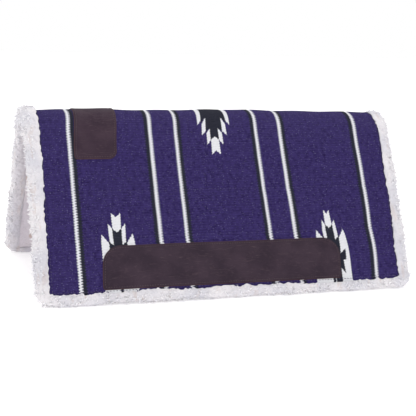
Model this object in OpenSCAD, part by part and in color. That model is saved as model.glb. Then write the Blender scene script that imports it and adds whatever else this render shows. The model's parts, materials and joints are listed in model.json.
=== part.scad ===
// Saddle pad folded over its spine and standing on its two hems like a tent.
// X runs along the spine with the front (wither) end at -X, the near flap
// hangs on the -Y side, the far flap on the +Y side, and Z = 0 is the ground.

/* [Pad] */
// Length of the woven top along the spine, without the fleece edges
pad_len = 752; // [600:1:860]
// Distance along the outside from the spine to the woven top's lower edge
flap_run = 408.5; // [330:0.5:460]
// Lean of each flap from the vertical, in degrees
flap_lean = 28.3; // [20:0.1:36]
// Outside radius of the fold over the spine
fold_r = 67; // [55:1:90]

/* [Layers] */
// Thickness of the woven top
woven_t = 4; // [2:0.5:5]
// Thickness of the pressed felt core
felt_t = 10; // [6:0.5:12]
// Thickness of the fleece lining
fleece_t = 12; // [8:0.5:14]
// Thickness of the leathers
leather_t = 2.5; // [1.5:0.1:3.5]

/* [Fleece edge] */
// Radius of the fleece roll that wraps the edge
roll_r = 15; // [13:0.5:17]
// Flat width of the fleece edge at the two ends, before it turns over
end_flat = 12; // [8:0.5:16]
// Flat width of the fleece edge at the hem, before it turns over
hem_flat = 3; // [2:0.5:8]
// How far the fleece edge stands proud of the woven top
edge_proud = 3; // [1:0.5:4]
// Radius of the edge's centre line at the corners of the pad
corner_r = 10; // [6:0.5:11]
// How far the hem is flattened where it rests on the ground
hem_flatten = 1; // [0.5:0.1:2]

/* [Wither leather] */
// Centre of the wither leather along the spine
wither_x = -264; // [-300:1:-220]
// Width of the wither leather along the spine
wither_w = 88; // [60:1:120]
// Reach of the wither leather down each flap, from the spine
wither_run = 133; // [100:1:160]
// Radius of the wither leather's lower corners
wither_corner = 12; // [5:0.5:20]

/* [Wear leather] */
// Front end of the wear leather along the spine
wear_front = -270; // [-330:1:-200]
// Rear end of the wear leather along the spine
wear_rear = 244; // [200:1:330]
// Upper edge of the wear leather, measured from the spine
wear_top = 314; // [290:1:340]
// Gap between the wear leather and the woven top's lower edge
wear_gap = 6; // [4:0.5:12]
// Radius of the wear leather's upper front corner
wear_front_corner = 30; // [10:1:40]
// Radius of the wear leather's upper rear corner
wear_rear_corner = 40; // [10:1:45]
// Radius of the wear leather's lower corners
wear_low_corner = 6; // [3:0.5:12]

/* [Stitching] */
// Width of a row of stitches
thread_w = 1.4; // [0.8:0.1:2]
// Height of a row of stitches
thread_h = 0.6; // [0.3:0.1:1]
// Inset of the stitches from a leather's edge
leather_inset = 4.5; // [3:0.5:8]
// Inset of the edge stitches from the woven top's edge
edge_inset = 3; // [2:0.5:5]
// First quilting row, measured from the spine
quilt_upper = 201; // [150:1:230]
// Second quilting row, measured from the spine
quilt_lower = 297; // [240:1:305]

/* [Fold] */
// Depth of each fold line below the outside of the pad
hinge_depth = 6.2; // [4:0.1:8]
// Angle by which a flap opens until the pad lies flat
open_angle = 61.7; // [50:0.1:62]
// Angle by which a flap closes until the pad is folded shut
close_angle = 30; // [20:0.1:31]

/* [Hidden] */
$fn = 96;

// Turn of the fold from the spine to a flap, and its length on the outside
fold_a = 90 - flap_lean;
fold_run = fold_r * fold_a * PI / 180;

// Depths of the layer faces below the outside, which is 0
felt_top = -woven_t;
fleece_top = felt_top - felt_t;
inside = fleece_top - fleece_t;
roll_mid = edge_proud - roll_r;
roll_low = edge_proud - 2 * roll_r;

// Lengths on the flat part of a flap, counted from the end of the fold
flat_run = flap_run - fold_run;
hem_mid = flat_run + hem_flat;
corner_v = hem_mid - corner_r;
corner_x = pad_len / 2 + end_flat - corner_r;

// Height of the fold's centre that puts the flattened hem on the ground
roll_drop = (fold_r + roll_mid) * cos(fold_a) - hem_mid * sin(fold_a) - roll_r;
fold_z = -roll_drop - hem_flatten;

// Fold lines, with the relief angles that let the flaps open and close
hinge_r = fold_r - hinge_depth;
hinge_a = fold_a / 2;
relief_gap = 0.3;
relief_margin = 0.7;
open_relief = open_angle / 2 + relief_margin;
close_relief = close_angle / 2 + relief_margin;
reach = 3 * flap_run;

woven_color = [0.21, 0.17, 0.37];
felt_color = [0.62, 0.62, 0.60];
fleece_color = [0.90, 0.88, 0.90];
leather_color = [0.26, 0.21, 0.25];
thread_color = [0.45, 0.33, 0.25];
purple_thread = [0.17, 0.13, 0.30];

// A point at a distance from the fold's centre, turned from the vertical
function polar(r, a) = [r * sin(a), r * cos(a)];

// Draws a YZ section along X over a length, centred
module along_spine(length) {
    rotate([90, 0, 90])
        linear_extrude(height = length, center = true)
            children();
}

// Draws in the frame of the far flap, or of the near one as its mirror:
// X along the spine, Y down the flap from the end of the fold, Z outwards
module on_flap(side) {
    mirror([0, side == "near" ? 1 : 0, 0])
        translate([0, 0, fold_z])
            rotate([-fold_a, 0, 0])
                children();
}

// A layer over the fold, between two depths and over a length of the spine
module fold_arc(low, high, length) {
    rotate([0, 90, 0])
        rotate([0, 0, 180 - fold_a])
            rotate_extrude(angle = 2 * fold_a)
                translate([fold_r + low, -length / 2])
                    square([high - low, length]);
}

// Section of the space that the spine or the far flap owns: wedges are left
// free at the fold lines, so that no layer meets another when a flap moves
module body_section(body) {
    hinge = polar(hinge_r, hinge_a);
    shift = relief_gap * [cos(hinge_a), -sin(hinge_a)];
    if (body == "spine") {
        p = hinge - shift;
        up = p + polar(fold_r, hinge_a - open_relief);
        low = [0, p[1] - p[0] / tan(hinge_a + close_relief)];
        polygon([p, up, [-up[0], up[1]], [-p[0], p[1]], low]);
    } else {
        p = hinge + shift;
        up = p + polar(fold_r, hinge_a + open_relief);
        low = p - polar(fold_r, hinge_a - close_relief);
        polygon([p, up, [reach, up[1]], [reach, -reach], [low[0], -reach], low]);
    }
}

// The part of children() that one body owns
module owned_by(body) {
    intersection() {
        children();
        along_spine(2 * pad_len)
            body_section(body);
    }
}

// The stretch of the fold that one body owns, as fold_arc
module fold_stretch(body, low, high, length) {
    mirror([0, body == "near" ? 1 : 0, 0])
        translate([0, 0, fold_z])
            owned_by(body == "near" ? "far" : body)
                fold_arc(low, high, length);
}

// One layer of one body, over a length of the spine: its stretch of the fold
// and, on a flap, the flat stretch below it
module layer(body, low, high, flat_end, length) {
    fold_stretch(body, low, high, length);
    if (body != "spine")
        on_flap(body)
            translate([-length / 2, 0, fold_r + low])
                cube([length, flat_end, high - low]);
}

module woven_top(body) {
    color(woven_color)
        layer(body, felt_top, 0, flat_run, pad_len);
}

module felt_core(body) {
    color(felt_color)
        layer(body, fleece_top, felt_top, flat_run, pad_len);
}

module fleece_lining(body) {
    color(fleece_color)
        layer(body, inside, fleece_top, flat_run, pad_len);
}

// Profile of the fleece roll on an end: x outwards from the fold's centre,
// y along the spine, flat against the layers and round at the tip
module end_roll_profile() {
    tip = pad_len / 2 + end_flat;
    translate([fold_r + roll_low, pad_len / 2])
        square([2 * roll_r, end_flat]);
    intersection() {
        translate([fold_r + roll_mid, tip])
            circle(r = roll_r);
        translate([fold_r + roll_low, tip])
            square([2 * roll_r, roll_r]);
    }
}

// The rear fleece roll over the fold and down both flaps
module end_roll() {
    rotate([0, 90, 0])
        rotate([0, 0, 180 - fold_a])
            rotate_extrude(angle = 2 * fold_a)
                end_roll_profile();
    for (m = [0, 1])
        mirror([0, m, 0])
            rotate([-fold_a, 0, 0])
                rotate([-90, 0, 0])
                    rotate([0, 0, -90])
                        linear_extrude(height = corner_v)
                            end_roll_profile();
}

// The fleece edge of one body at the rear end, or at the front as its mirror;
// the near flap's is the far flap's mirror
module end_fleece_edge(body, at_front) {
    color(fleece_color)
        mirror([at_front ? 1 : 0, 0, 0])
            mirror([0, body == "near" ? 1 : 0, 0])
                translate([0, 0, fold_z])
                    owned_by(body == "near" ? "far" : body)
                        end_roll();
}

// Section of the hem roll: x down the flap, y outwards
module hem_section(from, from_low) {
    translate([from, from_low])
        square([hem_mid - from, 2 * roll_r]);
    intersection() {
        translate([hem_mid, from_low + roll_r])
            circle(r = roll_r);
        translate([hem_mid, from_low])
            square([roll_r, 2 * roll_r]);
    }
}

// One rounded corner of the hem roll
module hem_corner() {
    translate([corner_x, corner_v, 0])
        rotate_extrude(angle = 90)
            hem_section_at_corner();
}

// The hem section counted from the corner's centre
module hem_section_at_corner() {
    translate([0, fold_r + roll_low])
        square([corner_r, 2 * roll_r]);
    intersection() {
        translate([corner_r, fold_r + roll_mid])
            circle(r = roll_r);
        translate([corner_r, fold_r + roll_low])
            square([roll_r, 2 * roll_r]);
    }
}

// The fleece turned over the hem, with its corners, flattened on the ground
module hem_fleece_edge(side) {
    color(fleece_color)
        intersection() {
            on_flap(side)
                difference() {
                    union() {
                        along_spine(2 * corner_x)
                            hem_section(corner_v, fold_r + roll_low);
                        hem_corner();
                        mirror([1, 0, 0])
                            hem_corner();
                    }
                    translate([-pad_len / 2, 0, 0])
                        cube([pad_len, flat_run, 2 * fold_r]);
                }
            translate([-pad_len, -reach, 0])
                cube([2 * pad_len, 2 * reach, reach]);
        }
}

// A square corner at the origin that is to be cut away to a radius, with the
// rounded piece on the side of +x and +y
module corner_cut(r) {
    difference() {
        translate([-1, -1])
            square([r + 1, r + 1]);
        translate([r, r])
            circle(r = r);
    }
}

// Outline of the wither leather on a flap, drawn smaller by an inset
module wither_outline(inset) {
    half = wither_w / 2 - inset;
    end = wither_run - fold_run - inset;
    r = wither_corner - inset / 2;
    translate([wither_x, 0])
        difference() {
            translate([-half, 0])
                square([2 * half, end]);
            for (m = [0, 1])
                mirror([m, 0])
                    translate([half, end])
                        rotate(180)
                            corner_cut(r);
        }
}

// Wither leather of one body: its stretch over the fold, and on a flap the
// flat stretch with its lower corners rounded
module wither_leather(body) {
    color(leather_color)
        difference() {
            translate([wither_x, 0, 0])
                layer(body, 0, leather_t, wither_run - fold_run, wither_w);
            if (body != "spine")
                for (m = [0, 1])
                    on_flap(body)
                        translate([wither_x, wither_run - fold_run, fold_r - 1])
                            mirror([m, 0, 0])
                                translate([wither_w / 2, 0, 0])
                                    rotate([0, 0, 180])
                                        linear_extrude(height = leather_t + 2)
                                            corner_cut(wither_corner);
        }
}

// Outline of the wear leather on a flap, drawn smaller by an inset
module wear_outline(inset) {
    x0 = wear_front + inset;
    x1 = wear_rear - inset;
    y0 = wear_top - fold_run + inset;
    y1 = flat_run - wear_gap - inset;
    difference() {
        translate([x0, y0])
            square([x1 - x0, y1 - y0]);
        translate([x0, y0])
            corner_cut(wear_front_corner - inset);
        translate([x1, y0])
            rotate(90)
                corner_cut(wear_rear_corner - inset);
        translate([x1, y1])
            rotate(180)
                corner_cut(wear_low_corner - inset / 2);
        translate([x0, y1])
            rotate(270)
                corner_cut(wear_low_corner - inset / 2);
    }
}

module wear_leather(side) {
    color(leather_color)
        on_flap(side)
            translate([0, 0, fold_r])
                linear_extrude(height = leather_t)
                    wear_outline(0);
}

module wear_leather_stitching(side) {
    color(thread_color)
        on_flap(side)
            translate([0, 0, fold_r + leather_t])
                linear_extrude(height = thread_h)
                    difference() {
                        wear_outline(leather_inset);
                        wear_outline(leather_inset + thread_w);
                    }
}

module wither_leather_stitching(body) {
    row_x = wither_w / 2 - leather_inset - thread_w / 2;
    color(thread_color) {
        for (x = [-row_x, row_x])
            translate([wither_x + x, 0, 0])
                fold_stretch(body, leather_t, leather_t + thread_h, thread_w);
        if (body != "spine")
            on_flap(body)
                translate([0, 0, fold_r + leather_t])
                    linear_extrude(height = thread_h)
                        difference() {
                            wither_outline(leather_inset);
                            difference() {
                                wither_outline(leather_inset + thread_w);
                                translate([wither_x - wither_w, -1])
                                    square([2 * wither_w, 1]);
                            }
                        }
    }
}

// A row of stitches along the spine, at a distance from the spine
module row_on_flap(side, run, length) {
    on_flap(side)
        translate([-length / 2, run - fold_run - thread_w / 2, fold_r])
            cube([length, thread_w, thread_h]);
}

module quilt_stitching(side) {
    color(purple_thread)
        for (run = [quilt_upper, quilt_lower])
            row_on_flap(side, run, pad_len - 4 * edge_inset);
}

// Stitches that hold the woven top to the fleece edge: a row near each end,
// and on a flap the row along the hem that joins them
module edge_stitching(body) {
    row_x = pad_len / 2 - edge_inset;
    row_run = flap_run - edge_inset;
    color(purple_thread) {
        for (x = [-row_x, row_x])
            translate([x, 0, 0])
                layer(body, 0, thread_h, row_run - fold_run, thread_w);
        if (body != "spine")
            row_on_flap(body, row_run, 2 * row_x + thread_w);
    }
}

woven_top("spine");  // woven_top_spine
woven_top("near");  // woven_top_near
woven_top("far");  // woven_top_far
felt_core("spine");  // felt_core_spine
felt_core("near");  // felt_core_near
felt_core("far");  // felt_core_far
fleece_lining("spine");  // fleece_lining_spine
fleece_lining("near");  // fleece_lining_near
fleece_lining("far");  // fleece_lining_far
end_fleece_edge("spine", true);  // front_fleece_edge_spine
end_fleece_edge("near", true);  // front_fleece_edge_near
end_fleece_edge("far", true);  // front_fleece_edge_far
end_fleece_edge("spine", false);  // rear_fleece_edge_spine
end_fleece_edge("near", false);  // rear_fleece_edge_near
end_fleece_edge("far", false);  // rear_fleece_edge_far
hem_fleece_edge("near");  // hem_fleece_edge_near
hem_fleece_edge("far");  // hem_fleece_edge_far
wither_leather("spine");  // wither_leather_spine
wither_leather("near");  // wither_leather_near
wither_leather("far");  // wither_leather_far
wear_leather("near");  // wear_leather_near
wear_leather("far");  // wear_leather_far
quilt_stitching("near");  // quilt_stitching_near
quilt_stitching("far");  // quilt_stitching_far
edge_stitching("spine");  // edge_stitching_spine
edge_stitching("near");  // edge_stitching_near
edge_stitching("far");  // edge_stitching_far
wear_leather_stitching("near");  // wear_leather_stitching_near
wear_leather_stitching("far");  // wear_leather_stitching_far
wither_leather_stitching("spine");  // wither_leather_stitching_spine
wither_leather_stitching("near");  // wither_leather_stitching_near
wither_leather_stitching("far");  // wither_leather_stitching_far
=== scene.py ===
# %% [markdown]
# # A western saddle pad, folded over its crest
#
# The pad is one long sandwich: a striped woven blanket on top, a thick wool felt in the middle and
# curly fleece underneath. The fleece is wider than the blanket, so it shows as a soft white rim all
# round. Leather is sewn on where a saddle rubs. The pad keeps the fold of the rail that it is stored
# over, and stands like a tent on its two hems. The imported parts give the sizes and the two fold
# hinges; this script gives every part its looks.

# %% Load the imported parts
import json
import math

import bpy
import numpy as np
from mathutils import Matrix, Vector


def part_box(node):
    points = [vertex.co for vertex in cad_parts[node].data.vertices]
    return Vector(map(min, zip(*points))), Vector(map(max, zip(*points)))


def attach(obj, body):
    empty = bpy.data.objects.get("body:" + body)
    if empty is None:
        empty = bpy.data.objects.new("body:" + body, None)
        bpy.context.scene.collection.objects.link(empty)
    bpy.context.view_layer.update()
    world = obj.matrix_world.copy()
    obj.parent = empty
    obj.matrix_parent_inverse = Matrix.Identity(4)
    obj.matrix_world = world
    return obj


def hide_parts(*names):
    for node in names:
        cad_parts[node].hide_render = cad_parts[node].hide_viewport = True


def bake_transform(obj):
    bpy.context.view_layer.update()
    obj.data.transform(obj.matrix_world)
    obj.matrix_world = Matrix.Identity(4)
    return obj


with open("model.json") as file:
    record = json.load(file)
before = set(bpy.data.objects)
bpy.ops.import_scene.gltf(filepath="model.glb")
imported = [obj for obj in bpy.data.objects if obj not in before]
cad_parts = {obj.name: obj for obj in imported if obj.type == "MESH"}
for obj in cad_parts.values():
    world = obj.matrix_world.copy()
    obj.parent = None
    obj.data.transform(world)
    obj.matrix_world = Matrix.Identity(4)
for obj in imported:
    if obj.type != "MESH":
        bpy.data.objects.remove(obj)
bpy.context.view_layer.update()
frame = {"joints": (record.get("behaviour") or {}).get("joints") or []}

# %% [markdown]
# ## The flat pattern and the fold
#
# Every layer is laid out flat first, as a maker would cut it. x runs along the horse's back, s runs
# from the crest down one side along the outer face, and n is the height above that face, all in
# millimetres. One function then bends the flat pattern over the rail: a circular arc, then a straight
# slope. Because all the layers go through the same function, they can never cut through each other.

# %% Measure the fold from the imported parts
MM = 0.001
HALF_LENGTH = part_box("woven_top_spine")[1].x / MM
CREST_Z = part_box("woven_top_spine")[1].z / MM
hinge = [abs(v) / MM for v in frame["joints"][0]["pos_m"]]
FOLD_RADIUS = 67.0
FOLD_Z = CREST_Z - FOLD_RADIUS
FOLD_ANGLE = 2 * math.atan2(hinge[1], hinge[2] - FOLD_Z)  # each hinge lies half way along its arc
FOLD_RUN = FOLD_RADIUS * FOLD_ANGLE
FLAP_RUN = 408.5
print(f"half length {HALF_LENGTH:.1f}, fold radius {FOLD_RADIUS:.0f}, angle {math.degrees(FOLD_ANGLE):.1f}")

# %% Bend the flat pattern over the rail
QUILT_ROWS = (201.0, 297.0)
QUILT_DEPTH = 0.9
RIB = 5.6
CREST_SAG = 5.0
REAR_CREEP = 6.5
GROUND = -3.0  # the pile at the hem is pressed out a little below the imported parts
REAR_CLEAR = 2.2


def ease(v, low, high):
    """0 below low, 1 above high, and a smooth S between: 3t^2 - 2t^3."""
    t = np.clip((v - low) / (high - low), 0, 1)
    return t * t * (3 - 2 * t)


def sway(x, s, side):
    """Slow waves of the hanging cloth, about 2 mm high, plus a shallow groove along each quilted row.
    The waves of the two sides fade into one common wave at the crest, so that the halves meet there.
    The rear of the crest sags, as it does past the end of a rail."""
    phase = 0.9 * side
    crest = 0.8 * np.sin(x / 47 + 1) + 0.6 * np.sin(x / 17 + 2)
    waves = 1.3 * np.sin(x / 88 + 0.8 + phase) * np.sin(s / 95 + 0.5) + 0.8 * np.sin(x / 41 + s / 70 + phase)
    grooves = sum(np.exp(-(((s - row) / 5) ** 2)) for row in QUILT_ROWS)
    sag = CREST_SAG * ease(x, 90, 376) * (1 - ease(s, 15, 130))
    return waves * ease(s, 20, 130) + crest * (1 - ease(s, 15, 110)) - sag - QUILT_DEPTH * grooves


def on_pad(x, s, n, side):
    """Flat pattern to place. The angle round the rail is s over the fold radius, up to the fold angle;
    the rest of s runs straight down the slope. side is -1 for the near half and 1 for the far one. The
    upper rear corner creeps back by 6.5 mm. Nothing goes below the ground, where the hem is pressed, and
    the rear of the hem stays 2.2 mm above it."""
    x, s, n = np.broadcast_arrays(np.asarray(x, float), s, n)
    angle = np.clip(s / FOLD_RADIUS, 0, FOLD_ANGLE)
    slope = np.maximum(s - FOLD_RUN, 0)
    radius = FOLD_RADIUS + n + sway(x, s, side)
    y = radius * np.sin(angle) + slope * math.cos(FOLD_ANGLE)
    z = FOLD_Z + radius * np.cos(angle) - slope * math.sin(FOLD_ANGLE)
    x = x + REAR_CREEP * ease(x, 120, 376) * (1 - ease(s, 190, 380))
    lowest = GROUND + REAR_CLEAR * ease(x, 150, 330)
    return np.stack([x, side * y, np.maximum(z, lowest)], -1) * MM


SIDES = {"near": -1, "far": 1}
print("hem height", np.round(on_pad(0, FLAP_RUN, 0, -1)[2], 3), "m")

# %% [markdown]
# ## From grids to closed shells
#
# Each layer is a closed ring of points, such as out along the face and back along the underside,
# carried along a path. A grid of sections by ring points makes the skin, and the two ends are closed
# with one flat face each. If the enclosed volume comes out negative, the faces are turned round. Each
# point also keeps its flat place as an attribute, so that a woven pattern bends with the cloth. Curls
# and stitches are small tubes, repeated by the hundred in one mesh.

# %% Mesh helpers
def put_mesh(name, points, faces, flat, flat_faces=(), extra=None):
    """A mesh object from points, a list of faces, and each point's flat place in millimetres."""
    mesh = bpy.data.meshes.new(name)
    mesh.from_pydata(points.reshape(-1, 3).tolist(), [], faces)
    smooth = np.ones(len(faces), bool)
    smooth[list(flat_faces)] = False
    mesh.polygons.foreach_set("use_smooth", smooth)
    mesh.attributes.new("flat", "FLOAT_VECTOR", "POINT").data.foreach_set(
        "vector", flat.reshape(-1, 3).astype(np.float32).ravel())
    for key, values in (extra or {}).items():
        mesh.attributes.new(key, "FLOAT", "POINT").data.foreach_set("value", values.astype(np.float32).ravel())
    obj = bpy.data.objects.new(name, mesh)
    bpy.context.scene.collection.objects.link(obj)
    return obj


def shell(name, x, s, n, side, walls=(), extra=None):
    """A closed shell: row i of the arrays is section i, and its points go round a closed ring.
    walls are the ring steps that are flat inner walls, kept from softening the edge beside them."""
    flat = np.stack(np.broadcast_arrays(x, s, n), -1).astype(float)
    points = on_pad(flat[..., 0], flat[..., 1], flat[..., 2], side)
    sections, ring = flat.shape[:2]
    i, j = np.meshgrid(np.arange(sections - 1), np.arange(ring), indexing="ij")
    k = (j + 1) % ring
    quads = np.stack([i * ring + j, (i + 1) * ring + j, (i + 1) * ring + k, i * ring + k], -1).reshape(-1, 4)
    p = points.reshape(-1, 3)[quads]
    volume = np.einsum("ij,ij->i", p[:, 0], np.cross(p[:, 1], p[:, 2])).sum()
    volume += np.einsum("ij,ij->i", p[:, 0], np.cross(p[:, 2], p[:, 3])).sum()
    start, end = list(range(ring)), list(range((sections - 1) * ring, sections * ring))
    faces, ends = quads, [start, end[::-1]]
    if volume < 0:
        faces, ends = quads[:, ::-1], [start[::-1], end]
    inner = np.flatnonzero(np.isin(j.ravel(), [w % ring for w in walls]))
    count = len(faces)
    print(f"{name}: {count} faces, {abs(volume) / 6 * 1e6:.0f} cm3")
    return put_mesh(name, points, faces.tolist() + ends, flat, [*inner, count, count + 1], extra)


def tubes(name, flat, side, extra=None):
    """Many small tubes in one mesh, closed at both ends. flat gives tube, ring, corner and (x, s, n). The
    first tube's volume about its own middle tells which way its faces have to turn."""
    count, rings, corners = flat.shape[:3]
    points = on_pad(flat[..., 0], np.maximum(flat[..., 1], 0), flat[..., 2], side)
    i, j = np.meshgrid(np.arange(rings - 1) * corners, np.arange(corners), indexing="ij")
    k = (j + 1) % corners
    walls = np.stack([i + j, i + k, i + corners + k, i + corners + j], -1).reshape(-1, 4)
    ends = np.stack([np.arange(corners)[::-1], np.arange(corners) + (rings - 1) * corners])
    p = (points[0] - points[0].mean((0, 1))).reshape(-1, 3)[walls]
    if np.einsum("ij,ij->", p[:, 0], np.cross(p[:, 1], p[:, 2]) + np.cross(p[:, 2], p[:, 3])) < 0:
        walls, ends = walls[:, ::-1], ends[:, ::-1]
    first = rings * corners * np.arange(count)[:, None, None]
    faces = [face for part in (walls, ends) for face in (part + first).reshape(-1, part.shape[1]).tolist()]
    print(f"{name}: {count} tubes")
    return put_mesh(name, points, faces, flat, extra=extra)


# %% [markdown]
# ## The ragged hem
#
# The blanket's lower edge is a cut weave turned under by hand. It wanders by a few millimetres, in
# small steps where a few weft yarns end. The blanket, the fleece and the corners share this edge.

# %% The edge of the blanket
def scatter(a, b, seed):
    """A repeatable random number from 0 to 1 for each cell (a, b): the fraction of a large sine."""
    v = np.sin(a * 127.1 + b * 311.7 + seed * 74.7) * 43758.5453
    return v - np.floor(v)


CORNER_X, CORNER_S = 5, 7  # how far the blanket's rounded corners reach along x and along s
STEP_RUN = 21  # a step of the hem to each 21 mm


def hem_edge(x, side):
    """s of the blanket's lower edge: rounded at its two corners, otherwise wandering, in small steps. The
    near hem also hangs lower in two places, each a bell curve of x."""
    x = np.asarray(x, float)
    corner = np.clip((np.abs(x) - (HALF_LENGTH - CORNER_X)) / CORNER_X, 0, 1)
    rounded = FLAP_RUN - CORNER_S + CORNER_S * np.sqrt(np.clip(1 - corner**2, 0, 1))
    cell = np.floor(x / STEP_RUN)
    step = scatter(cell, side, 3) - 0.5
    after = scatter(cell + 1, side, 3) - 0.5
    steps = step + (after - step) * ease(x / STEP_RUN - cell, 0.86, 1.0)
    wander = 0.7 * np.sin(x / 23 + side) + 2.6 * steps + 0.5 * np.sin(x / 5.1)
    if side < 0:
        wander = wander + 5.0 * np.exp(-(((x - 225) / 95) ** 2)) + 2.5 * np.exp(-(((x + 330) / 45) ** 2))
    return rounded + wander * (1 - ease(np.abs(x), HALF_LENGTH - 30, HALF_LENGTH - 6))


def end_edge(s, side, at_front):
    """How far the blanket's end edge wanders outwards from its straight line, in millimetres: it widens
    by 3 mm towards the near front corner, and waves by less than 1 mm elsewhere."""
    wide = np.where(at_front & (side < 0), 3.2 * ease(s, 190, 340), 0.0)
    return (wide + 0.7 * np.sin(s / 29 + side + at_front)) * ease(s, 5, 40)


print("hem wanders by", np.round(np.ptp(hem_edge(np.linspace(-340, 340, 200), -1)), 1), "mm")

# %% [markdown]
# ## The woven top
#
# The blanket is a weft-faced weave: thick yarns lie side by side and hide the warp, which leaves ribs
# 5.6 mm apart. The ribs are real relief here, because they catch the light at the crest. A bump alone
# would vanish along the outline. The underside is hidden, so it has far fewer points.

# %% Weave the two halves
RIB_DEPTH = 0.22
BLANKET_UNDER, FELT_UNDER, PILE_FACE = -4.0, -14.0, -25.8  # n of each layer's underside
FELT_GAP = 0.2  # the felt keeps this far off the layers above and below it


def woven_half(name, side):
    """Ring: down the outer face with a cosine rib to every RIB of s, then back up the underside."""
    x = np.linspace(-HALF_LENGTH, HALF_LENGTH, 150)[:, None]
    face = np.linspace(0, FLAP_RUN, 328)
    under = np.linspace(FLAP_RUN, 0, 42)
    s = np.concatenate([face, under])[None, :]
    rib = RIB_DEPTH * np.cos(2 * math.pi * face / RIB) * (1 - ease(face, FLAP_RUN - 3, FLAP_RUN)) - RIB_DEPTH
    n = np.concatenate([rib, np.full(under.shape, BLANKET_UNDER)])[None, :]
    low = hem_edge(x, side) - FLAP_RUN
    x = x + np.sign(x) * end_edge(s, side, x < 0) * ease(np.abs(x), HALF_LENGTH - 30, HALF_LENGTH)
    s = s + low * ease(s, FLAP_RUN - 26, FLAP_RUN)
    return shell(name, x, s, n + 0 * x, side, walls=(-1,))


woven = {key: woven_half(f"woven_blanket_{key}", side) for key, side in SIDES.items()}

# %% [markdown]
# ## The felt core
#
# Between the blanket and the fleece lies a 10 mm wool felt. It is hidden by the rim, but it is there
# when the pad is opened or cut, so it is a piece of its own with the same bend.

# %% Lay the felt
def felt_half(name, side):
    """Ring: down the felt's top face, just under the blanket, and back up its underside."""
    x = np.linspace(-HALF_LENGTH + 1, HALF_LENGTH - 1, 46)[:, None]
    run = np.linspace(0, FLAP_RUN - 8, 90)
    s = np.concatenate([run, run[::-1]])[None, :]
    n = np.repeat([BLANKET_UNDER - FELT_GAP, FELT_UNDER + FELT_GAP], len(run))[None, :]
    return shell(name, x, s, n + 0 * x, side, walls=(-1, len(run) - 1))


felt = {key: felt_half(f"felt_layer_{key}", side) for key, side in SIDES.items()}

# %% [markdown]
# ## Fleece
#
# Fleece is a pile of soft curls. Hair curves by the million would be the literal way, but the curls
# clump into tufts 5 to 10 mm wide, and at arm's length the eye sees only those. So the surface is a
# sum of domes on scattered points, with creases where two domes meet.

# %% Tufts
def tufts(u, v, size, seed):
    """Domes on scattered points, one to each cell of the given size: half a cosine of the distance to
    the nearest point, so 1 at a tuft's middle and 0 in the crease between two."""
    u, v = np.broadcast_arrays(u / size, v / size)
    nearest = np.full(u.shape, 9.0)
    for du in (-1, 0, 1):
        for dv in (-1, 0, 1):
            a, b = np.floor(u) + du, np.floor(v) + dv
            d = np.hypot(u - a - scatter(a, b, seed), v - b - scatter(a, b, seed + 5))
            nearest = np.minimum(nearest, d)
    return 0.5 + 0.5 * np.cos(math.pi * np.clip(nearest / 0.95, 0, 1))


def soft_noise(u, v, size, seed):
    """Random heights at the corners of square cells, joined smoothly in between, from -1 to 1."""
    u, v = np.broadcast_arrays(u / size, v / size)
    a, b = np.floor(u), np.floor(v)
    p, q = ease(u - a, 0, 1), ease(v - b, 0, 1)
    low = scatter(a, b, seed) * (1 - p) + scatter(a + 1, b, seed) * p
    high = scatter(a, b + 1, seed) * (1 - p) + scatter(a + 1, b + 1, seed) * p
    return 2 * (low * (1 - q) + high * q) - 1


MEAN_PILE = 0.9


def pile(u, v, seed):
    """Height of the pile in millimetres, and its openness: 0 in a deep crease and 1 on a tuft. Tufts of
    two sizes on a slow swell, bent a little so that no row shows, and roughened by curls 3 mm wide."""
    bend_u = u + 3 * soft_noise(u, v, 13, seed + 11)
    bend_v = v + 3 * soft_noise(u, v, 13, seed + 12)
    big, small = tufts(bend_u, bend_v, 12.0, seed), tufts(bend_u + 3, bend_v, 5.6, seed + 1)
    curls = soft_noise(u, v, 3.1, seed + 2)
    height = 1.0 * big + 0.8 * small + 0.35 * curls + 0.7 * soft_noise(u, v, 34, seed + 3)
    return height, np.clip(0.25 + 0.4 * big + 0.45 * small + 0.15 * curls, 0, 1)


# %% [markdown]
# ## The fleece lining
#
# The lining covers the whole underside. It is sewn to the felt, so only its inner face stands up in
# tufts. Its tufts also lean down the slope, because the pile is combed that way by use.

# %% Line the two halves
def lining_half(name, side):
    """Ring: down the hidden back under the felt, then up the pile side, which the pile's height above its
    mean pushes out. The combing is noise drawn out down the slope, along lines that wave a little."""
    x = np.linspace(-HALF_LENGTH - 1, HALF_LENGTH + 1, 300)[:, None]
    back, front = np.linspace(0, FLAP_RUN - 2, 40), np.linspace(FLAP_RUN - 2, 0, 190)
    s = np.concatenate([back, front])[None, :] + 0 * x
    height, open_up = pile(x, side * front[None, :] * 0.72, 2)
    combed = 1.1 * soft_noise(x + 12 * np.sin(front / 37), side * front / 4.5, 9, 21)
    hidden = np.ones((len(x), len(back)))
    n = np.concatenate([hidden * FELT_UNDER, PILE_FACE - (height - MEAN_PILE) - combed], 1)
    crease = np.concatenate([hidden, open_up], 1)
    return shell(name, x, s, n, side, walls=(-1, len(back) - 1), extra={"openness": crease})


lining = {key: lining_half(f"fleece_underside_{key}", side) for key, side in SIDES.items()}

# %% [markdown]
# ## The fleece rim
#
# At the edge the fleece comes round to the front as a roll 30 mm thick. On each half it runs from the
# crest down the front end, round a corner, along the hem and up the rear end. It is one profile
# carried along one path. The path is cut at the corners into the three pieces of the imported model.

# %% The path of the rim and its profile
ROLL = 15.0
ROLL_X, ROLL_N = 12, -12  # the roll's middle line: beyond the blanket's edge, and below its face
ROLL_TURN = 10
HEM_START = 1.06  # the corner turns while t goes from 1 to here
END_RUN = FLAP_RUN - CORNER_S


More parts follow.
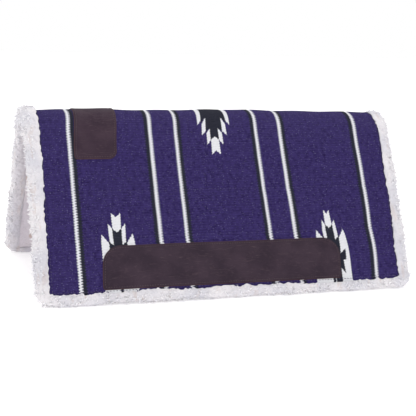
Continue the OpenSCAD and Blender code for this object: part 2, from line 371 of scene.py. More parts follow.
def rim_path(t):
    """For t from 0 to 3: the front end, the hem with its two corners, the rear end. Gives the roll's
    middle, the blanket's edge beside it, and the way out, as flat (x, s) pairs."""
    side_x = np.where(t < 1.5, -1.0, 1.0)
    u = np.minimum(t, 3 - t)
    turn = ease(u, 1.0, HEM_START) * math.pi / 2
    along = np.clip((u - HEM_START) / (1.5 - HEM_START), 0, 1)
    down = np.clip(u, 0, 1) * END_RUN

    def line(end, radius_x, radius_s):
        straight = (end - radius_x) * (1 - along)
        x = np.where(u < 1, end, np.where(u < HEM_START, end - radius_x + radius_x * np.cos(turn), straight))
        return side_x * x, np.where(u < 1, down, END_RUN + radius_s * np.sin(turn))

    middle = line(HALF_LENGTH + ROLL_X, ROLL_TURN, ROLL_TURN)
    edge = line(HALF_LENGTH, CORNER_X, CORNER_S)
    return middle, edge, (side_x * np.cos(turn), np.sin(turn))


def rim_profile(count):
    """Round the roll, from its foot at the blanket's edge: the underside, the half round, the top, a soft
    lip that lies 1 mm over the blanket, and the hidden wall. Columns: share of the way from edge to
    middle, distance outwards, height n, how much pile stands there, and how much of the lip it is."""
    arc = np.radians(np.linspace(-90, 90, 40))
    corners = [(0, 0.2, -26.5, 0, 0), (0.5, 0, -27, 1, 0)]
    corners += [(1, ROLL * math.cos(a), ROLL_N + ROLL * math.sin(a), 1, 0) for a in arc]
    corners += [(0.6, 0, 3, 1, 0), (0.3, 0, 3, 1, 0.1), (0, 1.2, 2.9, 0.8, 0.5), (0, -0.2, 2.2, 0.5, 0.9),
                (0, -1.0, 1.2, 0.2, 1), (0, -0.9, 0.3, 0, 1), (0, 0.2, -0.6, 0, 0), (0, 0.2, -12, 0, 0)]
    c = np.array(corners, float)
    gap = np.r_[0, np.cumsum(np.hypot(np.diff(c[:, 1] + ROLL_X * c[:, 0]), np.diff(c[:, 2])))]
    at = np.linspace(0, gap[-1], count)
    return [np.interp(at, gap, c[:, k]) for k in range(5)] + [at]


def rim_frame(t, side):
    """The path's points, length and edge for one half, with the edge's wander added to it."""
    middle, edge, way = ([c[:, None] for c in pair] for pair in rim_path(t))
    length = np.r_[0, np.cumsum(np.hypot(np.diff(middle[0][:, 0]), np.diff(middle[1][:, 0])))][:, None]
    length = length + (0 if t[0] < 1 else END_RUN)
    low = (hem_edge(edge[0], side) - FLAP_RUN) * ease(edge[1], FLAP_RUN - 1, FLAP_RUN - 0.2)
    out = end_edge(edge[1], side, edge[0] < 0) * ease(np.abs(edge[0]), HALF_LENGTH - 4, HALF_LENGTH)
    return middle, (edge[0] + np.sign(edge[0]) * out, edge[1] + low), way, length


def rim_swell(s, side, at_front, length):
    """How far the roll swells beyond its round, in millimetres: slow lumps, and a fuller front end where
    the pile spreads over the crest."""
    full = np.where(at_front, 3.4 * np.exp(-((s / 90) ** 2)) + (1.8 if side > 0 else 0.0) * ease(s, 0, 60), 0.0)
    return 1.1 * np.sin(length / 23 + side) + 0.7 * np.sin(length / 9.7) + full


def rim_piece(name, side, t):
    """Carry the profile along the path, then push each point out along the profile's normal by the pile.
    The lip creeps over the blanket by up to 3.8 mm, in tufts."""
    share, out, n, pile_here, lip, around = (v[None, :] for v in rim_profile(76))
    middle, edge, way, length = rim_frame(t, side)
    height, open_up = pile(side * length, around + 40 * way[0], 6)
    swell = rim_swell(middle[1], side, (middle[0] < 0) & (np.abs(way[0]) > 0.9), length)
    grow = (1.35 * height - 1.2 + swell) * pile_here
    step_out, step_n = np.gradient(ROLL_X * share + out, axis=1), np.gradient(n, axis=1)
    size = np.hypot(step_out, step_n) + 1e-9
    creep = 2.3 * np.maximum(soft_noise(side * length, way[0] * 9, 5.2, 31), -0.3)
    creep = creep + 1.5 * soft_noise(side * length, 0, 15, 32)
    out = out + grow * step_n / size - lip * creep
    n = n - grow * step_out / size
    x = edge[0] + (middle[0] - edge[0]) * share + way[0] * out
    s = edge[1] + (middle[1] - edge[1]) * share + way[1] * out
    crease = open_up * pile_here + (1 - pile_here)
    return shell(name, x, np.maximum(s, 0), n, side, extra={"openness": crease})


FRONT = np.linspace(0, 1, 270)
CORNER = np.linspace(1, HEM_START, 16)[:-1]
HEM = np.concatenate([CORNER, np.linspace(HEM_START, 3 - HEM_START, 520), 3 - CORNER[::-1]])
STRETCHES = {"front": FRONT, "hem": HEM, "rear": 3 - FRONT[::-1]}
rim = {(part, key): rim_piece(f"fleece_rim_{part}_{key}", side, t)
       for key, side in SIDES.items() for part, t in STRETCHES.items()}

# %% [markdown]
# ## Stray curls
#
# A fleece edge is never smooth: single curls stand off it by a few millimetres. Each is a bent cone of
# 18 faces. They are scattered over the side and the top of the roll, lean out along its normal and
# curve over to one side. About fourteen to a centimetre of rim are enough to break the outline.

# %% Scatter the curls
CURL_ROOT = 13.6  # the cones start inside the roll, this far from its middle line
CURL_RADIUS = 2.3
CURLS = {"front": (560, 51), "hem": (1050, 52), "rear": (560, 53)}  # how many, and their seed


def curls(name, side, t, count, seed):
    """Cones from a place on the path and an angle round the roll. Along a curl, its middle line leaves
    along the normal and bends sideways with the square of the distance, and its width tapers to 0."""
    pick, round_roll, root, stretch, lean, tilt = (
        scatter(np.arange(count), draw, seed)[:, None, None] for draw in range(1, 7))
    middle, _, way, length = rim_frame(t, side)
    mid_x, mid_s, way_x, way_s, run = (
        np.interp(pick * (len(t) - 1), np.arange(len(t)), v[:, 0]) for v in (*middle, *way, length))
    swell = rim_swell(mid_s, side, (mid_x < 0) & (np.abs(way_x) > 0.9), run)
    base = CURL_ROOT + swell * 0.9 + 0.6 * root
    long = 2.8 + 6.0 * stretch**2
    u, ring = np.linspace(0, 1, 5)[:, None], np.arange(4)[None, :] * math.pi / 2
    radius = CURL_RADIUS * (1 - u) ** 0.7 + 0.02
    out = base + long * u
    along = long * (1.4 * (lean - 0.5)) * u**2 + radius * np.cos(ring)
    around = np.radians(-62 + 150 * round_roll)
    around = around + (1.4 * (tilt - 0.5) * long * u**2 + radius * np.sin(ring)) / ROLL
    reach = out * np.cos(around)
    flat = np.stack([mid_x + way_x * reach - way_s * along, mid_s + way_s * reach + way_x * along,
                     ROLL_N + out * np.sin(around)], -1)
    openness = np.broadcast_to(0.9 + 0.1 * u, flat.shape[:3])
    return tubes(name, flat, side, extra={"openness": openness})


stray = {(part, key): curls(f"fleece_curls_{part}_{key}", side, t, *CURLS[part])
         for key, side in SIDES.items() for part, t in STRETCHES.items()}

# %% [markdown]
# ## The leathers
#
# A strip of leather straddles the crest over the withers, and a wide one takes the rub of the
# stirrup leathers low on each side. Both are cut from 3 mm hide with rounded corners, and the seam
# presses them 0.9 mm into the weave. The edge of cut hide is worn round, so the height falls off over
# the last 1.8 mm of the rim.

# %% Cut a leather patch
HIDE_FACE, HIDE_SUNK = 2.1, -0.9
WORN_RUN, WORN_DROP = 1.8, 1.3
HIDE_PITCH = 2.5


def corner_inset(gap, radius):
    """How far a rounded corner stands back from the side, at a given gap from the end: a quarter circle."""
    t = np.clip(gap, 0, radius)
    return radius - np.sqrt(np.clip(radius**2 - (radius - t) ** 2, 0, None))


def crowd(low, high, radius_low, radius_high, pitch):
    """Places from low to high, at least a pitch apart, but crowded into the two rounded ends."""
    rise = 1 - np.cos(np.linspace(0, math.pi / 2, 14))
    start = low + max(radius_low, 2.0) * rise if radius_low else np.array([low])
    end = high - (max(radius_high, 2.0) * rise)[::-1]
    middle = np.linspace(start[-1], end[0], max(3, int((end[0] - start[-1]) / pitch)))
    return np.concatenate([start[:-1], middle, end[1:]])


def askew(s, crest):
    """How far the leathers lean back, in millimetres. Neither is sewn on quite square: the one over the
    withers stands 9 mm further back at the crest, and the low one 3 mm at its top and -3 at its foot."""
    return 9.0 * (1 - ease(s, 0, 125)) if crest else 3.0 - 6.0 * ease(s, 300, 410)


def patch(name, side, x0, x1, s0, s1, upper, lower):
    """Rows of s; in each, a ring across: the top face from one side to the other, then the underside.
    upper and lower are the corner radii as (front, rear) pairs; an upper of None leaves the crest open.
    The worn rim drops with the square of the nearness to the edge."""
    rows = crowd(s0, s1, max(upper) if upper else 0, max(lower), HIDE_PITCH)[:, None]
    front, rear = x0 + 0 * rows, x1 + 0 * rows
    for radii, gap in ((upper, rows - s0), (lower, s1 - rows)):
        if radii:
            front = front + corner_inset(gap, radii[0])
            rear = rear - corner_inset(gap, radii[1])
    half = np.concatenate([[0, 0.3, 0.9, WORN_RUN], np.arange(4, (x1 - x0) / 2, HIDE_PITCH)])
    place = np.concatenate([half, (x1 - x0) - half[::-1]])[None, :]
    top = np.clip(front + place * (rear - front) / (x1 - x0), front, rear)
    ends = np.minimum(s1 - rows, rows - s0 if upper else 99.0)
    rim_gap = np.minimum(np.minimum(top - front, rear - top), ends)
    height = HIDE_FACE - WORN_DROP * np.clip(1 - rim_gap / WORN_RUN, 0, 1) ** 2
    under = np.linspace(1, 0, 14)[None, :] * (rear - front) + front
    x = np.concatenate([top, under], 1)
    n = np.concatenate([height, np.full(under.shape, HIDE_SUNK)], 1)
    near_rim = np.concatenate([rim_gap, np.zeros(under.shape)], 1)
    return shell(name, x + askew(rows, upper is None), rows, n, side, extra={"rim_gap": near_rim})


wear_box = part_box("wear_leather_near")
wither_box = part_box("wither_leather_spine")
WEAR = (wear_box[0].x / MM, wear_box[1].x / MM, 314.0, FLAP_RUN - 6)
WITHER = (wither_box[0].x / MM, wither_box[1].x / MM, 0.0, 133.0)
wear = {k: patch(f"wear_leather_panel_{k}", side, *WEAR, (36, 42), (6, 6)) for k, side in SIDES.items()}
wither = {k: patch(f"wither_leather_panel_{k}", side, *WITHER, None, (7, 18)) for k, side in SIDES.items()}

# %% [markdown]
# ## Stitches
#
# Every seam is a row of separate stitches: short bars of thread whose ends dive into the cloth. One
# bar of 26 faces is repeated along a path, at an even pitch, and bent onto the pad with everything
# else.

# %% Sew a row
def rounded_line(corners, radii):
    """A line through flat corner points, each turned with a quadratic curve that starts and ends one
    radius away from the corner."""
    corners = np.array(corners, float)
    line = [corners[:1]]
    for before, here, after, r in zip(corners, corners[1:], corners[2:], radii):
        a = here + (before - here) / np.linalg.norm(before - here) * r
        b = here + (after - here) / np.linalg.norm(after - here) * r
        u = np.linspace(0, 1, 8)[:, None]
        line.append((1 - u) ** 2 * a + 2 * u * (1 - u) * here + u**2 * b)
    return np.concatenate([*line, corners[-1:]])


def sew(name, side, lines, pitch, length, width, lift):
    """Repeat one stitch along flat lines. A stitch is 5 rings of 6 points: each ring's size and height
    follow half a sine along the stitch, so that both ends sink in."""
    along, ring = np.linspace(-1, 1, 5)[:, None], np.arange(6)[None, :] * math.pi / 3
    fat = np.sqrt(np.clip(1 - 0.92 * along**2, 0, 1))
    base_a = along * length / 2 + 0 * ring
    base_b = width / 2 * fat * np.cos(ring)
    base_n = lift * fat - 0.35 + width / 2 * fat * np.sin(ring)
    at, way = [], []
    for line in lines:
        step = np.diff(line, axis=0)
        run = np.r_[0, np.cumsum(np.hypot(*step.T))]
        q = np.arange(pitch / 2, run[-1] - pitch / 3, pitch)
        k = np.clip(np.searchsorted(run, q) - 1, 0, len(step) - 1)
        at.append(np.stack([np.interp(q, run, line[:, c]) for c in (0, 1)], 1))
        way.append(step[k] / np.linalg.norm(step[k], axis=1)[:, None])
    at, way = np.concatenate(at)[:, None, None, :], np.concatenate(way)[:, None, None, :]
    x = at[..., 0] + way[..., 0] * base_a - way[..., 1] * base_b
    s = at[..., 1] + way[..., 1] * base_a + way[..., 0] * base_b
    return tubes(name, np.stack([x, s, base_n + 0 * x], -1), side)


# %% Where the seams run
def patch_seam(x0, x1, s0, s1, upper, lower, inset):
    """The outline of a patch, moved in by the inset: closed, or open at the crest for the wither leather."""
    a, b, c, d = x0 + inset, x1 - inset, s0 + inset, s1 - inset
    if upper is None:
        corners, radii = [(a, 0), (a, d / 2), (a, d), (b, d), (b, d / 2), (b, 0)], [9, *lower, 9]
    else:
        middle = (a + b) / 2
        corners = [(middle, c), (a, c), (a, d), (b, d), (b, c), (middle, c)]
        radii = [upper[0], *lower, upper[1]]
    line = rounded_line(corners, radii)
    steps = np.arange(0, len(line) - 0.99, 0.25)  # four to each step of the line, so that it can lean
    line = np.stack([np.interp(steps, np.arange(len(line)), line[:, k]) for k in (0, 1)], 1)
    return line + np.stack([askew(line[:, 1], upper is None), 0 * line[:, 1]], 1)


SEAM_INSET = 4.5
LEATHER_STITCH = {"pitch": 5.2, "length": 3.9, "width": 1.1, "lift": 2.6}
EDGE_STITCH = {"pitch": 6.5, "length": 4.6, "width": 1.2, "lift": 0.3}
QUILT_STITCH = {"pitch": 6.5, "length": 4.8, "width": 1.1, "lift": -0.1}
edge_x, edge_s = HALF_LENGTH - 3, FLAP_RUN - 4
LINES = {
    "wear_leather": [patch_seam(*WEAR, (33, 40), (6, 6), SEAM_INSET)],
    "wither_leather": [patch_seam(*WITHER, None, (6, 15), SEAM_INSET)],
    "edge": [rounded_line([(-edge_x, 0), (-edge_x, edge_s), (edge_x, edge_s), (edge_x, 0)], [6, 6])],
    "quilting": [np.array([(-HALF_LENGTH + 4, row), (HALF_LENGTH - 4, row)]) for row in QUILT_ROWS],
}
THREADS = {"wear_leather": LEATHER_STITCH, "wither_leather": LEATHER_STITCH,
           "edge": EDGE_STITCH, "quilting": QUILT_STITCH}
seams = {(row, key): sew(f"{row}_stitches_{key}", side, lines, **THREADS[row])
         for key, side in SIDES.items() for row, lines in LINES.items()}

# %% [markdown]
# ## Writing shaders as sums
#
# A finish is easier to read as an expression than as a picture of boxes. A Value wraps one socket, and
# each sign between two Values adds the Math node that does it. A Finish makes any other node.

# %% A small shader language
class Value:
    """One output socket, with arithmetic. & is the smaller of two and | the larger, so masks combine."""

    def __init__(self, finish, socket):
        self.finish, self.socket = finish, socket

    def math(self, operation, *others):
        return self.finish.node("ShaderNodeMath", {"operation": operation}, dict(enumerate((self, *others))))

    def __add__(self, o): return self.math("ADD", o)
    def __radd__(self, o): return self.math("ADD", o)
    def __sub__(self, o): return self.math("SUBTRACT", o)
    def __rsub__(self, o): return self.finish.number(o).math("SUBTRACT", self)
    def __mul__(self, o): return self.math("MULTIPLY", o)
    def __rmul__(self, o): return self.math("MULTIPLY", o)
    def __truediv__(self, o): return self.math("DIVIDE", o)
    def __abs__(self): return self.math("ABSOLUTE")
    def __and__(self, o): return self.math("MINIMUM", o)
    def __or__(self, o): return self.math("MAXIMUM", o)
    def __gt__(self, o): return self.math("GREATER_THAN", o)
    def __lt__(self, o): return self.math("LESS_THAN", o)
    def sin(self): return self.math("SINE")

    def smooth(self, low, high):
        """0 below low and 1 above high, with a smooth S between."""
        return self.finish.node("ShaderNodeMapRange", {"interpolation_type": "SMOOTHSTEP"},
                                {"Value": self, "From Min": low, "From Max": high})


class Finish:
    """A material being made. node() sets a node's settings first, then the values or links of its sockets."""

    def __init__(self, name):
        self.material = bpy.data.materials.new(name)
        self.material.use_nodes = True
        self.tree = self.material.node_tree
        self.tree.nodes.clear()

    def node(self, kind, settings=None, inputs=None, out=0):
        made = self.tree.nodes.new(kind)
        for key, value in (settings or {}).items():
            setattr(made, key, value)
        for key, value in (inputs or {}).items():
            if isinstance(value, Value):
                self.tree.links.new(value.socket, made.inputs[key])
            else:
                made.inputs[key].default_value = value
        return Value(self, made.outputs[out])

    def number(self, value):
        return self.node("ShaderNodeMath", {"operation": "ADD"}, {0: value, 1: 0.0})

    def measured(self, name, out="Fac"):
        """A number, or a vector, that the mesh carries at each point."""
        return self.node("ShaderNodeAttribute", {"attribute_name": name}, out=out)

    def split(self, vector):
        """The x, s and n of a flat place."""
        return [self.node("ShaderNodeSeparateXYZ", {}, {0: vector}, out=k) for k in range(3)]

    def noise(self, vector, size, detail=2.0, stretch=(1, 1, 1)):
        """Noise with features about size millimetres across, squeezed along each direction by stretch."""
        scaled = self.node("ShaderNodeVectorMath", {"operation": "MULTIPLY"},
                           {0: vector, 1: [v / size for v in stretch]})
        return self.node("ShaderNodeTexNoise", {}, {"Vector": scaled, "Scale": 1.0, "Detail": detail})

    def mix(self, amount, a, b):
        """Colour a where amount is 0 and b where it is 1."""
        return self.node("ShaderNodeMix", {"data_type": "RGBA"}, {0: amount, 6: a, 7: b}, out=2)

    def finish(self, color, roughness, height=None, depth=0.001, **fixed):
        """Close the material: one Principled shader, its bump, and the settings that are the same all over."""
        inputs = {"Base Color": color, "Roughness": roughness}
        if height is not None:
            bump = {"Height": height, "Distance": depth, "Strength": 1.0}
            inputs["Normal"] = self.node("ShaderNodeBump", {}, bump)
        inputs.update({key.replace("_", " "): value for key, value in fixed.items()})
        shader = self.node("ShaderNodeBsdfPrincipled", {}, inputs)
        output = self.tree.nodes.new("ShaderNodeOutputMaterial")
        self.tree.links.new(shader.socket, output.inputs["Surface"])
        return self.material


def rgb(r, g, b):
    """A screen colour from 0 to 255 as linear light, with full alpha."""
    c = np.array([r, g, b]) / 255
    lin = np.where(c <= 0.04045, c / 12.92, ((c + 0.055) / 1.055) ** 2.4)
    return [float(v) for v in lin] + [1.0]


# %% [markdown]
# ## The blanket's finish: stripes
#
# The stripes come from changing the yarn colour. At each edge the yarns of two colours hook round the
# same warp in turn, which leaves small teeth, one to a rib. So x is first shifted by a wave with one
# period to a rib, and then compared with the stripe's sides. A loom never keeps its stripes quite
# straight, so x is also shifted by a slow drift and by a few millimetres here and there along s.

# %% Start the blanket
TOOTH, TOOTH_SHARPNESS, BEAD = 1.3, 2.2, 0.9  # teeth are a sine cut off flat; beads are a plain one
blanket = Finish("woven_acrylic_blanket")
where = blanket.measured("flat", "Vector")
px, ps, _ = blanket.split(where)
rib_turn = ps * (2 * math.pi / RIB)
drift = blanket.noise(where, 45.0, 0.0) * 1.6 - 0.8
teeth = (rib_turn.sin() * TOOTH_SHARPNESS).math("MINIMUM", 1.0).math("MAXIMUM", -1.0) * TOOTH
rear, tail, head = px > 0, px > 250, px < -250
at_crest = (1 - ps.smooth(20, 80)) * 3.6
at_rear = rear * (ps.smooth(90, 340) * 5.0 - 1.8)
at_tail = tail * (ps.smooth(280, 350) * 4.0 - ps.smooth(345, 410) * 4.5)
wx = px + drift - (at_crest + at_rear + at_tail + head * 2.6) + teeth
ax = abs(wx)


def band(low, high):
    """1 where the distance from the middle of the pad lies between low and high."""
    return (ax > low) & (ax < high)


bead = (rib_turn + 1.9).sin() * BEAD


def beaded(low, high):
    """A band whose two sides swell and shrink together by 0.9 mm, once a rib, like a string of beads."""
    return (ax + bead > low) & (ax - bead < high)


white = beaded(315.9, 322.3) | beaded(142.0, 148.9) | beaded(87.0, 93.2)
dark = band(307.0, 315.3) | band(149.2, 157.2) | band(78.8, 86.8)

# %% [markdown]
# ## The blanket's finish: feathered motifs
#
# Three feathered motifs are woven in, one half over the crest and two low on each side. Each is mirror
# symmetric, so only its right half is drawn: a is the distance from its middle line and d the
# distance down from the tips of its two prongs. Each shape is a polygon, and a point is inside it when
# it is on the inner side of every edge, which is one dot product an edge. Where a corner is hollow, its
# two edges cut the shape back to what lies inside both.

# %% Weave the motifs
on_left, on_right = (px < -150), (px > 150)
low_down = on_left | on_right
on_crest = 1 - low_down
centre = -5.5 + on_left * -229.0 + on_right * 234.5 + on_crest * (1 - ps.smooth(15, 75)) * 5.0
centre = centre - on_right * ((1 - ps.smooth(252, 335)) * 5.0 + ps.smooth(325, 405) * 4.5)
narrow = 1 - on_right * (1 - ps.smooth(250, 310)) * 0.36
a_line = abs(px + drift + teeth * 0.45 - centre) / narrow
d_line = on_crest * (126.0 - ps) + on_left * (ps - 246.5) + on_right * (ps - 253.5)
d_line = d_line + (px * (2 * math.pi / 4.2)).sin() * 0.5
spot = blanket.node("ShaderNodeCombineXYZ", {}, {0: a_line, 1: d_line, 2: 1.0})


def shape(*corners):
    """1 inside the polygon through the corners. Each edge gives a line; inside is where all are positive."""
    pts = np.array(corners, float)
    nxt = np.roll(pts, -1, 0)
    turn = np.sign(np.sum(pts[:, 0] * nxt[:, 1] - nxt[:, 0] * pts[:, 1]))
    inside = None
    for (a0, d0), (a1, d1) in zip(pts, nxt):
        edge = np.array([-(d1 - d0), a1 - a0]) * turn
        line = [float(edge[0]), float(edge[1]), float(-edge[0] * a0 - edge[1] * d0)]
        side = blanket.node("ShaderNodeVectorMath", {"operation": "DOT_PRODUCT"},
                            {0: spot, 1: line}, out="Value")
        inside = side if inside is None else inside & side
    return inside > 0.0


OUT = -20  # past the middle line, where nothing is drawn
column = shape((OUT, 9), (0, 9), (9.6, 0), (8.5, 33), (0, 40), (OUT, 40))
column = column | shape((0, 9), (9.6, 0), (8.5, 33), (0, 40))
feather_1 = shape((9, 58), (17, 48), (17.5, 22), (9.5, 32))
feather_2 = shape((17, 86), (26, 68), (27.5, 43), (18.5, 52)) & on_crest
feather_3 = shape((24, 130), (34.5, 130), (35.5, 66), (28, 77)) & on_crest
core_1 = shape((OUT, 33), (9.6, 33), (10.5, 76), (OUT, 76))
core_2 = shape((OUT, 74), (9, 58), (18.5, 47), (18.5, 130), (OUT, 130))
core_3 = shape((17, 87), (28, 71), (27, 200), (17, 200)) & on_crest
long_feather = shape((9, 66), (16.5, 60), (17.5, 22), (9.5, 32)) & low_down
outer = shape((18.5, 62), (32, 43), (34, 56), (36.5, 80), (40, 108), (41, 160), (18.5, 160)) & low_down
outer = outer & ((a_line < 34.0) | on_right)
core_low = shape((OUT, 74), (9, 60), (18.5, 53), (20, 95), (19, 175), (OUT, 175)) & low_down
hem_white = shape((3, 146), (28, 146), (28, 180), (3, 180)) & low_down & (px < 229)
barb_1 = shape((18, 96), (30, 86), (31, 118), (23, 111), (18, 112)) & on_right
barb_2 = shape((17, 102), (23.5, 102), (28, 140), (17, 126)) & on_right

motif_dark = core_1 | core_2 | core_3 | core_low
motif_white = column | feather_1 | feather_2 | feather_3 | long_feather | outer | hem_white
barbs = barb_1 | barb_2
dark = ((dark | motif_dark) & (1 - motif_white)) | barbs
white = (white | motif_white) & (1 - barbs)
print("blanket pattern nodes:", len(blanket.tree.nodes))

# %% [markdown]
# ## The blanket's finish: yarn
#
# The purple is a heather: each yarn mixes a darker and a lighter fibre, with a few pale flecks. The
# colour runs along the yarn, so the noise is stretched along x. Between two ribs less light gets in.

# %% Dye the yarn
WARP_PITCH = 3.1
heather = blanket.noise(where, 3.4, 3.0, (0.45, 1.3, 1))
cloudy = blanket.noise(where, 55.0, 2.0)
warp = (px * (2 * math.pi / WARP_PITCH) + rib_turn.sin() * 0.9).sin()
purple = blanket.mix(heather.smooth(0.3, 0.7), rgb(35, 25, 69), rgb(55, 44, 97))
blotch = blanket.noise(where, 8.0, 2.0, (1, 0.6, 1))
purple = blanket.mix(blotch.smooth(0.35, 0.65) * 0.55, purple, rgb(62, 51, 107))
purple = blanket.mix(cloudy.smooth(0.35, 0.7) * 0.3, purple, rgb(56, 46, 96))
# Painted light: the purple is lighter towards the crest, where the top of the fold faces the light.
purple = blanket.mix((1 - ps.smooth(10, 150)) * 0.25, purple, rgb(63, 55, 99))
fleck = blanket.noise(where, 1.9, 0.0, (0.8, 1, 1)).smooth(0.735, 0.775)
purple = blanket.mix(fleck * 0.7, purple, rgb(128, 124, 156))
slate = blanket.mix(heather, rgb(30, 32, 42), rgb(48, 49, 61))
ivory = blanket.mix(heather, rgb(205, 205, 209), rgb(230, 230, 234))
yarn = blanket.mix(dark > 0.5, purple, slate)
yarn = blanket.mix(white > 0.5, yarn, ivory)
rib_valley = 0.5 - (rib_turn + math.pi / 2).sin() * 0.5
shade = (rib_valley * 0.16 + (0.5 - warp * 0.5) * 0.10) * (1 - white * 0.75)
yarn = blanket.mix(shade, yarn, rgb(12, 9, 22))
fibre = blanket.noise(where, 0.9, 2.0, (0.5, 1, 1))
relief = warp * 0.35 + fibre * 0.9 + heather * 0.5
blanket_finish = blanket.finish(yarn, 0.9 - heather * 0.12, relief, 0.0006, Specular_IOR_Level=0.08)

# %% [markdown]
# ## Felt, fleece and leather
#
# The fleece is near white and a little violet in its creases, where less light gets in. The
# openness measured when the tufts were made drives its colour. Leather has three scales: broad
# clouding from handling, a pebbled grain, and thin pale scuffs; its rim is browner where the dye has
# worn.

# %% Felt
wool = Finish("wool_felt")
matted = wool.noise(wool.measured("flat", "Vector"), 2.4, 5.0)
wool_color = wool.mix(matted.smooth(0.3, 0.7), rgb(150, 146, 142), rgb(186, 182, 176))
felt_finish = wool.finish(wool_color, 0.95, matted, 0.0008, Sheen_Weight=0.2)


# %% Fleece
# The warm tint of the streaky painted shade in the fleece, standing for the wrinkles of its pile.
STREAK_SHADE_COLOR = rgb(190, 168, 158)


def fleece(name, painted_shade_color, low_color, high_color, streak_shade, depth=0.0009, scatter_share=0.2):
    """Pale pile: two shades between clouds; painted shade on the underside, in the creases and in the hollows
    of the curls;
    warm, streaky painted shade drawn out down the slope; and a fine fibre bump. Light that soaks into real pile
    comes out again a little way off, which is what the subsurface weight does."""
    pile_finish = Finish(name)
    place = pile_finish.measured("flat", "Vector")
    n = pile_finish.split(place)[2]
    openness = pile_finish.measured("openness")
    cloud = pile_finish.noise(place, 60.0, 2.0)
    curl = pile_finish.noise(place, 2.6, 4.0)
    hair = pile_finish.noise(place, 0.8, 2.0)
    base = pile_finish.mix(cloud.smooth(0.35, 0.65), low_color, high_color)
    # Painted shade: darker on the underside, below n of -20, which takes in the roll's underside and the
    # lining's face.
    base = pile_finish.mix((1 - n.smooth(-28.0, -20.0)) * 0.4, base, painted_shade_color)
    base = pile_finish.mix((1 - openness.smooth(0.0, 0.7)) * 0.6, base, painted_shade_color)
    # Painted shade in the hollows of the curls, where the curl bump is low.
    base = pile_finish.mix((1 - curl.smooth(0.25, 0.5)) * 0.3, base, painted_shade_color)
    # Painted shade: warm, streaky marks drawn out down the slope, where the pile wrinkles.
    shade_streak_mask = pile_finish.noise(place, 17.0, 3.0, (1.4, 0.3, 1)).smooth(0.56, 0.68)
    base = pile_finish.mix(shade_streak_mask * streak_shade, base, STREAK_SHADE_COLOR)
    return pile_finish.finish(base, 1.0 - hair * 0.08, curl * 1.1 + hair * 0.25, depth, Sheen_Weight=0.35,
                              Sheen_Roughness=0.6, Specular_IOR_Level=0.15, Subsurface_Weight=scatter_share,
                              Subsurface_Scale=0.004, Subsurface_Radius=(1.0, 0.95, 0.9))


rim_finish = fleece("fleece_rim_pile", rgb(174, 168, 178), rgb(203, 201, 208), rgb(220, 216, 219), streak_shade=0.3)
# The stray curls are painted lighter than the rim, to cancel the shadows between them: painted light.
curl_finish = fleece("fleece_stray_curls", rgb(209, 206, 214), rgb(218, 216, 222), rgb(227, 224, 227),
                     streak_shade=0.0, depth=0.0002, scatter_share=0.6)
lining_finish = fleece("fleece_lining_pile", rgb(172, 160, 166), rgb(218, 212, 221), rgb(228, 221, 226),
                       streak_shade=0.85)


# %% Leather
def hide(name, dark_color, mid_color, rim_color):
    """Clouded colour, pebbled grain, creases and pale scuffs, and a browner worn rim."""
    skin = Finish(name)
    place = skin.measured("flat", "Vector")
    clouds = skin.noise(place, 46.0, 4.0)
    mottle = skin.noise(place, 7.0, 4.0)
    scaled = skin.node("ShaderNodeVectorMath", {"operation": "SCALE"}, {0: place, "Scale": 0.75})
    grain = skin.node("ShaderNodeTexVoronoi", {"feature": "DISTANCE_TO_EDGE"}, {"Vector": scaled, "Scale": 1.0})
    wrinkle = skin.noise(place, 30.0, 3.0, (0.35, 2.2, 1))
    crease = 1 - abs(wrinkle - 0.5).smooth(0.0, 0.012)
    scuff = skin.noise(place, 3.2, 3.0, (0.16, 1.4, 1)).smooth(0.66, 0.74)
    color = skin.mix(clouds.smooth(0.3, 0.7), dark_color, mid_color)
    color = skin.mix(mottle.smooth(0.5, 0.8) * 0.35, color, rgb(72, 56, 66))
    color = skin.mix(crease * 0.3, color, rgb(84, 68, 75))
    color = skin.mix(scuff * 0.28, color, rgb(98, 82, 87))
    color = skin.mix((1 - skin.measured("rim_gap").smooth(0.2, 1.6)) * 0.8, color, rim_color)
    relief = grain.smooth(0.0, 0.25) * 0.5 + mottle * 0.6 - crease * 0.8
    return skin.finish(color, 0.72 - clouds * 0.12, relief, 0.0004, Specular_IOR_Level=0.12)


wear_finish = hide("wear_leather_hide", rgb(48, 37, 48), rgb(60, 47, 58), rgb(78, 55, 53))
wither_finish = hide("wither_leather_hide", rgb(52, 38, 50), rgb(64, 49, 60), rgb(82, 59, 58))


# %% Thread
def thread(name, low_color, high_color):
    """Two shades of a waxed thread, mixed by fuzz and by the twist, the twist part as painted shade in its
    grooves, with the twist as a slanted bump.
    """
    twine = Finish(name)
    place = twine.measured("flat", "Vector")
    x, s, _ = twine.split(place)
    twist = ((x + s) * 4.2).sin()
    fuzz = twine.noise(place, 1.2, 2.0)
    # Painted shade: the thread is darker where the twist bump is low, in its grooves; the fuzz part is a real
    # mix of two shades.
    color = twine.mix(fuzz * 0.6 + (twist + 1) * 0.2, low_color, high_color)
    return twine.finish(color, 0.62 + fuzz * 0.15, twist, 0.0002, Sheen_Weight=0.1)


leather_thread = thread("brown_leather_thread", rgb(54, 38, 40), rgb(80, 58, 56))
pad_thread = thread("dark_pad_thread", rgb(38, 30, 66), rgb(66, 56, 98))
print("finishes:", len(bpy.data.materials))

# %% [markdown]
# ## Join the looks to the moving parts
#
# The pad has three bodies: the spine along the crest and a flap on each side. A cloth that crosses the
# fold is bent over it once, between the crest and the end of the arc, and is joined to no body. What
# lies wholly on a flap rides with it.


def crossing(obj, key, finish, parts):
    """A piece from the crest down one side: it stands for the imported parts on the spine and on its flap."""
    obj.data.materials.append(finish)
    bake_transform(obj)
    for part in parts:
        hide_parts(f"{part}_spine", f"{part}_{key}")


def riding(obj, key, finish, part):
    """A piece that lies wholly on one flap."""
    obj.data.materials.append(finish)
    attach(obj, f"{key}_flap")
    if part:
        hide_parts(f"{part}_{key}")


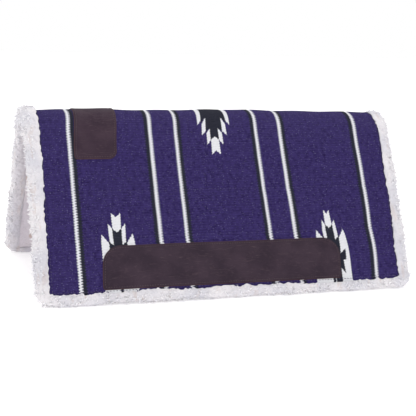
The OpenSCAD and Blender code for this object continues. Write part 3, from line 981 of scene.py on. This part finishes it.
for key in SIDES:
    crossing(woven[key], key, blanket_finish, ["woven_top"])
    crossing(felt[key], key, felt_finish, ["felt_core"])
    crossing(lining[key], key, lining_finish, ["fleece_lining"])
    crossing(rim["front", key], key, rim_finish, ["front_fleece_edge"])
    crossing(rim["rear", key], key, rim_finish, ["rear_fleece_edge"])
    crossing(wither[key], key, wither_finish, ["wither_leather"])
    crossing(seams["wither_leather", key], key, leather_thread, ["wither_leather_stitching"])
    crossing(seams["edge", key], key, pad_thread, ["edge_stitching"])
    riding(rim["hem", key], key, rim_finish, "hem_fleece_edge")
    crossing(stray["front", key], key, curl_finish, [])
    crossing(stray["rear", key], key, curl_finish, [])
    riding(stray["hem", key], key, curl_finish, None)
    riding(wear[key], key, wear_finish, "wear_leather")
    riding(seams["wear_leather", key], key, leather_thread, "wear_leather_stitching")
    riding(seams["quilting", key], key, pad_thread, "quilt_stitching")

# %% [markdown]
# ## Floor, light and camera
#
# A white floor under an even white sky is a table in a light tent, where nothing throws a hard shadow.
# One large soft lamp in front and one above add a little direction, so the ribs and tufts read.

# %% Floor and lights
FLOOR_HALF = 6
floor_z = GROUND * MM - 0.0002
floor_corners = [(-1, -1), (1, -1), (1, 1), (-1, 1)]
floor_mesh = bpy.data.meshes.new("floor")
floor_points = [(x * FLOOR_HALF, y * FLOOR_HALF, floor_z) for x, y in floor_corners]
floor_mesh.from_pydata(floor_points, [], [(0, 1, 2, 3)])
floor = bpy.data.objects.new("floor", floor_mesh)
bpy.context.scene.collection.objects.link(floor)
paper = Finish("white_paper")
paper_place = paper.node("ShaderNodeTexCoord", out="Object")
tooth = paper.node("ShaderNodeTexNoise", {}, {"Vector": paper_place, "Scale": 60.0})
paper_color = paper.mix(tooth, rgb(250, 250, 250), rgb(253, 253, 253))
floor_mesh.materials.append(paper.finish(paper_color, 0.9, Emission_Color=rgb(255, 255, 255),
                                         Emission_Strength=0.3))

world = bpy.data.worlds.new("studio")
bpy.context.scene.world = world
world.use_nodes = True
sky = world.node_tree.nodes["Background"].inputs
sky["Color"].default_value, sky["Strength"].default_value = (1, 1, 1, 1), 1.0


PAD_MIDDLE = (0, 0, 0.15)


def lamp(name, place, size, power):
    """A square soft lamp that faces the middle of the pad."""
    data = bpy.data.lights.new(name, "AREA")
    data.size, data.energy = size, power
    obj = bpy.data.objects.new(name, data)
    obj.location = place
    obj.rotation_euler = (Vector(PAD_MIDDLE) - Vector(place)).to_track_quat("-Z", "Y").to_euler()
    bpy.context.scene.collection.objects.link(obj)


lamp("front_lamp", (-1.2, -2.2, 2.2), 1.6, 14)
lamp("top_lamp", (0.6, 0.4, 2.6), 1.6, 10)
bpy.context.scene.view_settings.view_transform = "Standard"

# %% [markdown]
# The camera stands to the left of the pad and a little above it, far enough off that the ends hardly
# converge. It is rolled by a few degrees, as a camera held by hand is.

# %% Camera
YAW, PITCH, ROLL_ANGLE = (math.radians(v) for v in (18.96, 12.42, 2.55))
AIM, DISTANCE = (0.0095, 0, 0.1365), 2.339
ahead = Vector((math.sin(YAW) * math.cos(PITCH), math.cos(YAW) * math.cos(PITCH), -math.sin(PITCH)))
across = Vector((math.cos(YAW), -math.sin(YAW), 0))
upright = across.cross(ahead)
right = across * math.cos(ROLL_ANGLE) + upright * math.sin(ROLL_ANGLE)
up = upright * math.cos(ROLL_ANGLE) - across * math.sin(ROLL_ANGLE)
camera_data = bpy.data.cameras.new("camera")
camera_data.lens, camera_data.sensor_width = 91.8, 36.0
camera = bpy.data.objects.new("camera", camera_data)
camera_place = Vector(AIM) - ahead * DISTANCE
camera.matrix_world = Matrix.Translation(camera_place) @ Matrix((right, up, -ahead)).transposed().to_4x4()
bpy.context.scene.collection.objects.link(camera)
bpy.context.scene.camera = camera
